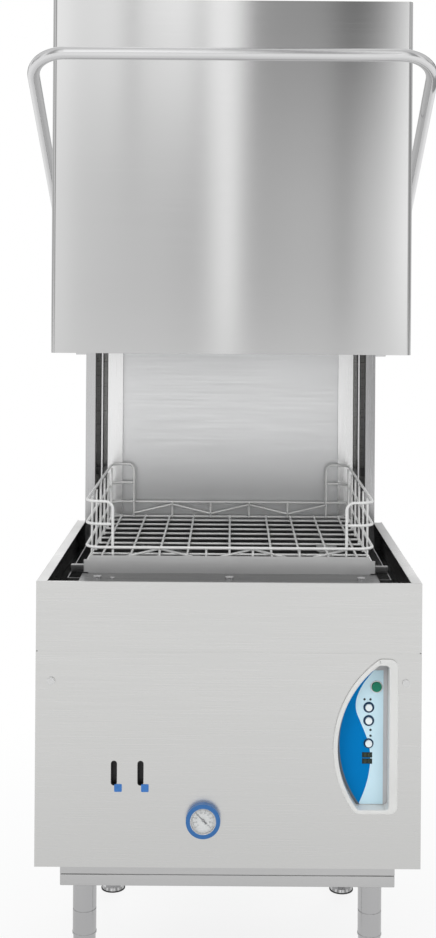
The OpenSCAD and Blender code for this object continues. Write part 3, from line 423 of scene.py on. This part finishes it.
def plate(bm, front, back):
    """A flat plate between two outlines of the frame's points."""
    front = [bm.verts.new(point) for point in front]
    back = [bm.verts.new(point) for point in back]
    bm.faces.new(front)
    bm.faces.new(back[::-1])
    for i in range(len(front)):
        j = (i + 1) % len(front)
        bm.faces.new((front[i], back[i], back[j], front[j]))


def sheet_between(bm, outline, y0, y1):
    """A flat plate: an outline in X and Z, in mm as at() takes them, from depth y0 to y1."""
    plate(bm, [at(x, y0, z) for x, z in outline], [at(x, y1, z) for x, z in outline])


def bar(bm, x, z, half_width, half_height, y0, y1):
    """A flat oblong about a middle point, in mm as at() takes them."""
    left, right, low, high = x - half_width, x + half_width, z - half_height, z + half_height
    sheet_between(bm, [(left, low), (right, low), (right, high), (left, high)], y0, y1)


def rings_round(bm, centre, axis, profile, sides):
    """Rings of vertices round an axis: profile holds (radius, height) in mm, centre is a point of the frame.

    A radius of 0 gives a single vertex.
    """
    axis = Vector(axis)
    across = axis.orthogonal().normalized()
    other = axis.cross(across)
    turns = [2 * math.pi * k / sides for k in range(sides)]
    rings = []
    for radius, height in profile:
        middle = centre + axis * height * MM
        spokes = [across * math.cos(t) + other * math.sin(t) for t in turns] if radius else [across]
        rings.append([bm.verts.new(middle + spoke * radius * MM) for spoke in spokes])
    return rings


def turned(bm, centre, axis, profile, sides=20):
    """A lathe shape, whose profile may start and end on the axis."""
    rings = rings_round(bm, centre, axis, profile, sides)
    for low, high in zip(rings, rings[1:]):
        for k in range(sides):
            j = (k + 1) % sides
            if len(low) == 1:
                bm.faces.new((low[0], high[k], high[j]))
            elif len(high) == 1:
                bm.faces.new((low[k], high[0], low[j]))
            else:
                bm.faces.new((low[k], high[k], high[j], low[j]))


def closed_ring(bm, centre, axis, profile, sides):
    """A lathe shape whose profile closes on itself, such as a washer or bezel."""
    rings = rings_round(bm, centre, axis, profile, sides)
    for low, high in zip(rings, rings[1:] + rings[:1]):
        for k in range(sides):
            j = (k + 1) % sides
            bm.faces.new((low[k], high[k], high[j], low[j]))


def pan_head(radius, height):
    """Profile of a domed screw head with a small hollow in its crown."""
    return [(0, height * 0.72), (radius * 0.28, height * 0.72), (radius * 0.34, height),
            (radius * 0.62, height * 0.93), (radius * 0.88, height * 0.6), (radius, height * 0.12),
            (radius, 0), (0, 0)]


def screws(name, places, axis, radius, height, body="cabinet"):
    """A group of pan-head screws at places given in mm."""
    def make(bm):
        for spot in places:
            turned(bm, at(*spot), axis, pan_head(radius, height))
    add_piece(name, make, "polished_tube", body, smooth=True)


# ---- control panel ----

SURROUND_CENTRE = (353.5, -272.7)
RECESS_Y = back_of_front(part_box("control_fascia")[0].y)
# Depths of the layers in front of the recess: every layer starts just off the one behind it
PRINT_FRONT, PRINT_BACK = RECESS_Y - 0.5, RECESS_Y - 0.1
PAINTED_SHADOW_FRONT = RECESS_Y - 0.8
WINDOW_FRONT = RECESS_Y - 0.7
DIGIT_FRONT = RECESS_Y - 0.9
PRINT_ARC = 167.5
PAINTED_SHADOW_ARC = 171.5
PRINT_RIGHT = 259.0
PRINT_TOP = -150.0
PRINT_BOTTOM = -373.5
ARC_STEPS = 40
# The wave between the two blues, from top to bottom
WAVE = [(243.5, PRINT_TOP), (234.0, -161.0), (223.5, -176.0), (215.5, -193.0), (213.0, -207.0),
        (214.5, -220.0), (220.5, -235.0), (228.5, -254.0), (235.0, -272.0), (237.5, -290.0),
        (237.5, -306.0), (235.0, -325.0), (230.5, -343.0), (225.0, -358.5), (218.5, PRINT_BOTTOM)]
DISPLAY_X = 232.5
DISPLAY_ROWS = (-291.5, -301.8)
LAMPS = [(227.6, -198.6), (237.6, -198.6), (238.0, -249.7), (238.0, -259.3)]


def arc_x(z, radius=PRINT_ARC):
    """X of the print's curved left edge at a height."""
    return SURROUND_CENTRE[0] - math.sqrt(radius ** 2 - (z - SURROUND_CENTRE[1]) ** 2)


def smooth_path(points, steps=5):
    """A Catmull-Rom curve through the points."""
    ends = [points[0]] + list(points) + [points[-1]]
    path = []
    for i in range(1, len(ends) - 2):
        corners = ends[i - 1:i + 3]
        for k in range(steps):
            t = k / steps
            path.append(tuple(0.5 * (2 * b + (c - a) * t + (2 * a - 5 * b + 4 * c - d) * t * t
                                     + (3 * b - a - 3 * c + d) * t ** 3) for a, b, c, d in zip(*corners)))
    path.append(points[-1])
    return path


def control_print():
    """The two blues of the control panel, and a dark band round their curved edge that is a painted shadow."""
    heights = [PRINT_BOTTOM + (PRINT_TOP - PRINT_BOTTOM) * k / ARC_STEPS for k in range(ARC_STEPS + 1)]
    left_edge = [(arc_x(z), z) for z in heights]
    painted_shadow_edge = [(arc_x(z, PAINTED_SHADOW_ARC), z) for z in heights]
    wave = [(max(x, arc_x(z) + 0.5), z) for x, z in smooth_path(WAVE)]
    right_edge = [(PRINT_RIGHT, PRINT_TOP), (PRINT_RIGHT, PRINT_BOTTOM)]

    def painted_shadow_band(bm):
        sheet_between(bm, painted_shadow_edge + left_edge[::-1], PAINTED_SHADOW_FRONT, PRINT_BACK)

    def deep(bm):
        sheet_between(bm, left_edge + wave, PRINT_FRONT, PRINT_BACK)

    def light(bm):
        sheet_between(bm, wave[::-1] + right_edge, PRINT_FRONT, PRINT_BACK)

    add_piece("print_painted_shadow", painted_shadow_band, "painted_shadow_plastic")
    add_piece("print_deep_blue", deep, "deep_blue")
    add_piece("print_light_blue", light, "light_blue")


def button_ring(name, node, inner, outer, rise, material):
    """A raised ring round a button."""
    low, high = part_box(node)
    centre = Vector(((low.x + high.x) / 2, FRONT + PRINT_BACK * MM, (low.z + high.z) / 2))
    profile = [(inner, 0), (inner, rise), (inner + 0.4, rise + 0.4), (outer - 0.5, rise + 0.3),
               (outer, rise * 0.5), (outer, 0)]
    add_piece(name, lambda bm: closed_ring(bm, centre, FORWARD, profile, 48), material, smooth=True)


def lamp_lenses():
    """Small dark lamp lenses: two above the buttons and two over the board's lamps."""
    profile = [(0, 0.9), (1.2, 0.8), (1.9, 0.3), (2.0, 0), (0, 0)]

    def make(bm):
        for x, z in LAMPS:
            turned(bm, at(x, PRINT_FRONT, z), FORWARD, profile)
    add_piece("lamp_lenses", make, "display", smooth=True)


def display_windows():
    """Dark windows over the two displays."""
    def make(bm):
        for z in DISPLAY_ROWS:
            bar(bm, DISPLAY_X, z, 8.5, 4.4, WINDOW_FRONT, PRINT_FRONT)
    add_piece("display_windows", make, "display")


def segment_digits():
    """Two unlit figures in each display, made of short bars."""
    long_half, short_half, thin_half = 1.3, 0.8, 0.25

    def make(bm):
        for row in DISPLAY_ROWS:
            for middle in (DISPLAY_X - 3.5, DISPLAY_X + 3.5):
                for z in (row + 2.2, row, row - 2.2):
                    bar(bm, middle, z, long_half, thin_half, DIGIT_FRONT, WINDOW_FRONT)
                for x in (middle - 1.7, middle + 1.7):
                    for z in (row + 1.1, row - 1.1):
                        bar(bm, x, z, thin_half, short_half, DIGIT_FRONT, WINDOW_FRONT)
    add_piece("display_digits", make, "digit")


def seam_backing():
    """The folded edge that shows behind the seam between apron and service panel."""
    low = above_rim(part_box("service_panel")[1].z) - 4
    high = above_rim(apron_low.z) + 4
    edge = apron_high.x / MM - 3

    def make(bm):
        bar(bm, 0, (low + high) / 2, edge, (high - low) / 2, 0.35, 0.8)
    add_piece("seam_backing", make, "satin_steel")


control_print()
button_ring("power_ring", "power_button", inner=8.35, outer=10.4, rise=1.6, material="polished_tube")
for programme_button in ("programme_button_upper", "programme_button_lower"):
    button_ring(programme_button + "_ring", programme_button, inner=5.95, outer=9.2, rise=0.9, material="navy")
button_ring("start_ring", "start_button", inner=5.95, outer=8.4, rise=0.9, material="navy")
lamp_lenses()
display_windows()
segment_digits()
seam_backing()


# ---- gauge ----

gauge_low, gauge_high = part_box("gauge_body")
GAUGE_CENTRE = Vector(((gauge_low.x + gauge_high.x) / 2, 0, (gauge_low.z + gauge_high.z) / 2))
DIAL_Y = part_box("gauge_dial")[1].y - 0.8 * MM
SWEEP_START = 225
SWEEP = 270
TICKS = 45
TICKS_PER_NUMBER = 5
NUMBERS = TICKS // TICKS_PER_NUMBER


def dial_direction(share):
    """The way from the dial's middle to a share of its sweep, 0 at its start and 1 at its end."""
    angle = math.radians(SWEEP_START - SWEEP * share)
    return Vector((math.cos(angle), 0, math.sin(angle)))


def gauge_marks():
    """Ticks round the dial, with a long one at each number."""
    outer = 18.4 * MM
    front_face = GAUGE_CENTRE + Vector((0, DIAL_Y - 0.2 * MM, 0))
    back_face = GAUGE_CENTRE + Vector((0, DIAL_Y - 0.05 * MM, 0))

    def make(bm):
        for k in range(TICKS + 1):
            inner, half = (14.6 * MM, 0.34 * MM) if k % TICKS_PER_NUMBER == 0 else (16.6 * MM, 0.18 * MM)
            along = dial_direction(k / TICKS)
            across = Vector((-along.z, 0, along.x)) * half
            near, far = along * inner, along * outer
            corners = [near + across, far + across, far - across, near - across]
            plate(bm, [front_face + corner for corner in corners], [back_face + corner for corner in corners])
    add_piece("gauge_ticks", make, "black_plastic")


def gauge_numbers():
    """Plain numbers 0 to 90 round the dial."""
    middle = GAUGE_CENTRE + Vector((0, DIAL_Y - 0.15 * MM, 0))
    for k in range(NUMBERS + 1):
        name = f"gauge_number_{k}"
        curve = bpy.data.curves.new(name, "FONT")
        curve.body = str(10 * k)
        curve.size = 3.6 * MM
        curve.align_x = "CENTER"
        curve.align_y = "CENTER"
        curve.extrude = 0.05 * MM
        curve.materials.append(MATERIALS["black_plastic"])
        obj = bpy.data.objects.new(name, curve)
        bpy.context.scene.collection.objects.link(obj)
        obj.location = middle + dial_direction(k / NUMBERS) * 12.2 * MM
        obj.rotation_euler = (math.pi / 2, 0, 0)
        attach(obj, "cabinet")


def gauge_bezel():
    """A bright lip inside the blue bezel."""
    centre = GAUGE_CENTRE + Vector((0, gauge_low.y, 0))
    profile = [(20.6, -7), (20.6, -0.6), (21.2, 0.0), (22.4, -0.1), (22.8, -0.6), (22.8, -7)]

    def make(bm):
        closed_ring(bm, centre, FORWARD, profile, 56)
    add_piece("gauge_inner_lip", make, "polished_tube", smooth=True)


gauge_marks()
gauge_numbers()
gauge_bezel()


# ---- fasteners and feet ----

def cover_screws():
    """Two rows of screws down the back cover."""
    inset, rows = 20, 7
    low = above_rim(cover_low.z) + inset
    high = above_rim(cover_high.z) - inset
    heights = [low + (high - low) * k / (rows - 1) for k in range(rows)]
    back = back_of_front(cover_high.y)
    places = [(x, back, z) for x in (-290, 290) for z in heights]
    screws("cover_screws", places, BACKWARD, radius=5, height=2.4)


def side_screws(name, sign):
    """Three screws along the foot of a side skin."""
    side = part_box("side_panels")[1].x / MM
    places = [(sign * side, y, -450) for y in (60, 300, 540)]
    screws(f"side_screws_{name}", places, (sign, 0, 0), radius=4.5, height=2.0)


def hub_screw(name, sign):
    """The screw that holds a handle arm to the end of the shaft."""
    low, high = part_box("pivot_bushes")
    sunk = 1.6
    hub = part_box("handle_bail")[1].x / MM - sunk
    centre = (sign * hub, back_of_front((low.y + high.y) / 2), above_rim((low.z + high.z) / 2))
    screws(f"hub_screw_{name}", [centre], (sign, 0, 0), radius=8, height=1.5, body="handle")


def foot_pad(name, body):
    """A rubber sole let into a foot, level with its lower face."""
    low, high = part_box("foot_" + name)
    centre = Vector(((low.x + high.x) / 2, (low.y + high.y) / 2, low.z))
    profile = [(25.4, 0.1), (25.6, 1.2), (25.4, 2.6), (24.9, 2.8), (24.5, 2.6), (24.7, 0.1)]

    def make(bm):
        closed_ring(bm, centre, UPWARD, profile, 40)
    add_piece("sole_" + name, make, "rubber", body, smooth=True)


cover_screws()
for side_name, side_sign in (("left", -1), ("right", 1)):
    side_screws(side_name, side_sign)
    hub_screw(side_name, side_sign)
screws("base_screws", [(x, 60, -495) for x in (-260, 260)], FORWARD, radius=3.5, height=1.6)
for foot_name, foot_body in (("front_left", "foot_fl"), ("front_right", "foot_fr"),
                             ("rear_left", "foot_rl"), ("rear_right", "foot_rr")):
    foot_pad(foot_name, foot_body)


# ---- stage ----

def stage_card(name, corners, mat):
    """A flat card with a material, kept out of the model."""
    mesh = bpy.data.meshes.new(name)
    mesh.from_pydata(corners, [], [(0, 1, 2, 3)])
    mesh.materials.append(mat)
    card = bpy.data.objects.new(name, mesh)
    bpy.context.scene.collection.objects.link(card)
    return card


def emission(tree, strength=1.0):
    node = tree.nodes.new("ShaderNodeEmission")
    feed(tree, strength, node.inputs["Strength"])
    return node.outputs["Emission"]


def stage_floor():
    """The camera sees white that takes a little of the shadow near the machine; metal sees it glowing, with a
    painted shadow that darkens it near the machine.
    """
    mat, tree, bsdf = start_material("floor")
    fine = noise(tree, 3, (1, 1, 1), 3)
    tree.links.new(tint(tree, (0.90, 0.90, 0.90), fine, 0.995, 1.005), bsdf.inputs["Base Color"])
    bsdf.inputs["Roughness"].default_value = 0.9
    bsdf.inputs["Specular IOR Level"].default_value = 0.0
    path = tree.nodes.new("ShaderNodeLightPath").outputs
    length = tree.nodes.new("ShaderNodeVectorMath")
    length.operation = "LENGTH"
    tree.links.new(place(tree), length.inputs[0])
    distance = length.outputs["Value"]
    white_share = remap(tree, distance, 0.3, 1.5, 0.80, 1.0)
    seen = maths(tree, "MAXIMUM", path["Is Camera Ray"], path["Is Transmission Ray"])
    lit = bsdf.outputs["BSDF"]
    for_camera = mix_shader(tree, maths(tree, "MULTIPLY", seen, white_share), lit, emission(tree))
    # Painted shadow for reflections: the glowing floor is darker near the machine
    bright = emission(tree, remap(tree, distance, 0.7, 2.4, 0.74, 0.95))
    for_metal = mix_shader(tree, path["Is Glossy Ray"], for_camera, bright)
    output = next(n for n in tree.nodes if n.type == "OUTPUT_MATERIAL")
    tree.links.new(for_metal, output.inputs["Surface"])
    half = 30
    stage_card("floor", [(-half, -half, 0), (half, -half, 0), (half, half, 0), (-half, half, 0)], mat)


def stage_flag():
    """A grey upright card to the right of the hood and a little in front of it, which only reflections see."""
    mat, _, bsdf = start_material("flag")
    bsdf.inputs["Base Color"].default_value = (0.02, 0.02, 0.02, 1)
    bsdf.inputs["Emission Color"].default_value = (1, 1, 1, 1)
    bsdf.inputs["Emission Strength"].default_value = 0.24
    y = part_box("hood_shell")[0].y - 0.04
    left, right, low, high = 0.350, 0.46, RIM + 0.02, RIM + 0.90
    flag = stage_card("flag", [(left, y, low), (right, y, low), (right, y, high), (left, y, high)], mat)
    flag.visible_camera = False
    flag.visible_diffuse = False
    flag.visible_shadow = False
    flag.visible_transmission = False


# What polished metal mirrors: brightness by the sideways slope of the reflection, in bands.
# 0.5 is straight ahead and a slope of 0.1 is 0.2 here. The upper bands show in the hood's upper part.
LOW_BANDS = [(0.0, 0.92), (0.19, 1.05), (0.2375, 1.02), (0.259, 0.84), (0.302, 0.78), (0.388, 0.72),
             (0.448, 0.64), (0.466, 0.86), (0.480, 1.10), (0.494, 1.38), (0.506, 1.0), (0.52, 0.70),
             (0.534, 0.59), (0.603, 0.67), (0.65, 0.66), (0.6675, 0.50), (0.682, 0.60), (0.70, 0.78),
             (0.72, 0.86), (0.745, 1.05), (0.77, 1.45), (0.80, 1.2), (1.0, 0.92)]
HIGH_BANDS = [(0.0, 1.0), (0.2375, 1.35), (0.26, 1.12), (0.32, 1.25), (0.345, 0.74), (0.36, 1.18),
              (0.42, 1.36), (0.437, 1.25), (0.4525, 0.78), (0.466, 1.4), (0.50, 1.35), (0.52, 0.92),
              (0.530, 0.44), (0.57, 0.40), (0.64, 0.38), (0.665, 0.24), (0.689, 0.14), (0.7105, 0.20),
              (0.732, 0.36), (0.757, 0.74), (0.79, 1.4), (1.0, 0.95)]
# The room to the sides, from straight ahead at 0 to square across at 1: dark, with a soft bright strip in it
ROOM = [(0.0, 1.0), (0.22, 1.0), (0.36, 0.42), (0.50, 0.40), (0.62, 1.0), (0.74, 0.95), (0.86, 0.35),
        (1.0, 0.55)]


def grey_ramp(tree, factor, stops):
    """Brightness by a factor, from (factor, brightness) stops."""
    node = tree.nodes.new("ShaderNodeValToRGB")
    elements = node.color_ramp.elements
    elements.remove(elements[-1])
    for position, value in stops:
        element = elements[0] if position == 0 else elements.new(position)
        element.position = position
        element.color = (value, value, value, 1)
    tree.links.new(factor, node.inputs["Fac"])
    return node.outputs["Color"]


def background(tree, colour, strength=1.0):
    node = tree.nodes.new("ShaderNodeBackground")
    feed(tree, colour, node.inputs["Color"])
    node.inputs["Strength"].default_value = strength
    return node.outputs["Background"]


def stage_world():
    """White to the camera, an even grey to plain surfaces, and soft upright bands to polished metal."""
    world = bpy.data.worlds.new("studio")
    bpy.context.scene.world = world
    world.use_nodes = True
    tree = world.node_tree
    tree.nodes.clear()
    direction = split_xyz(tree, place(tree, "Generated"))
    depth = maths(tree, "MAXIMUM", maths(tree, "ABSOLUTE", direction["Y"]), 0.02)
    across = maths(tree, "DIVIDE", direction["X"], depth)
    rise = maths(tree, "DIVIDE", direction["Z"], depth)

    band_place = maths(tree, "MULTIPLY_ADD", across, 2.0, 0.5)
    bands = mix_colour(tree, remap(tree, rise, 0.10, 0.20), grey_ramp(tree, band_place, LOW_BANDS),
                       grey_ramp(tree, band_place, HIGH_BANDS))
    side = maths(tree, "DIVIDE", maths(tree, "ARCTANGENT", maths(tree, "ABSOLUTE", across)), math.pi / 2)
    room = mix_number(tree, remap(tree, rise, 0.6, 2.5), grey_ramp(tree, side, ROOM), 1.0)
    overhead = remap(tree, rise, 0.4, 2.0, 1.0, 0.72)
    shaded = tree.nodes.new("ShaderNodeVectorMath")
    shaded.operation = "SCALE"
    tree.links.new(bands, shaded.inputs[0])
    tree.links.new(maths(tree, "MULTIPLY", room, overhead), shaded.inputs["Scale"])

    path = tree.nodes.new("ShaderNodeLightPath").outputs
    plain = background(tree, (0.98, 0.99, 1.0, 1), 0.62)
    banded = background(tree, shaded.outputs["Vector"])
    white = background(tree, (1, 1, 1, 1))
    seen = maths(tree, "MAXIMUM", path["Is Camera Ray"], path["Is Transmission Ray"])
    for_surfaces = mix_shader(tree, path["Is Glossy Ray"], plain, banded)
    output = tree.nodes.new("ShaderNodeOutputWorld")
    tree.links.new(mix_shader(tree, seen, for_surfaces, white), output.inputs["Surface"])


def stage_light(name, spot, target, size, power):
    """An oblong area lamp aimed at a point, hidden from the camera and from reflections."""
    light = bpy.data.lights.new(name, "AREA")
    light.shape = "RECTANGLE"
    light.size, light.size_y = size
    light.energy = power
    obj = bpy.data.objects.new(name, light)
    bpy.context.scene.collection.objects.link(obj)
    obj.location = spot
    obj.rotation_euler = (Vector(target) - Vector(spot)).to_track_quat("-Z", "Y").to_euler()
    obj.visible_glossy = False
    obj.visible_camera = False


def stage_camera():
    """Square to the front, level with the gap between hood and rim, as far off as the rack's depth asks."""
    distance = 2.158
    height = 0.477
    roll = math.radians(-0.4)
    camera = bpy.data.cameras.new("camera")
    camera.lens = 50
    camera.sensor_width = 36
    camera.sensor_fit = "AUTO"
    camera.shift_x = -0.0142
    camera.shift_y = -0.1860
    camera.clip_end = 100
    obj = bpy.data.objects.new("camera", camera)
    bpy.context.scene.collection.objects.link(obj)
    obj.location = (0, FRONT - distance, RIM + height)
    obj.rotation_euler = (math.pi / 2, roll, 0)
    bpy.context.scene.camera = obj


stage_floor()
stage_world()
stage_flag()
stage_light("key", (-2.2, -3.0, 3.4), (0, 0, 0.9), (2.4, 2.4), 70)
stage_light("fill", (2.6, -2.6, 2.2), (0, 0, 0.8), (2.4, 2.4), 35)
stage_light("back", (0.5, 2.8, 3.2), (0, 0, 1.0), (2.4, 1.6), 35)
stage_camera()
bpy.context.scene.view_settings.view_transform = "Standard"
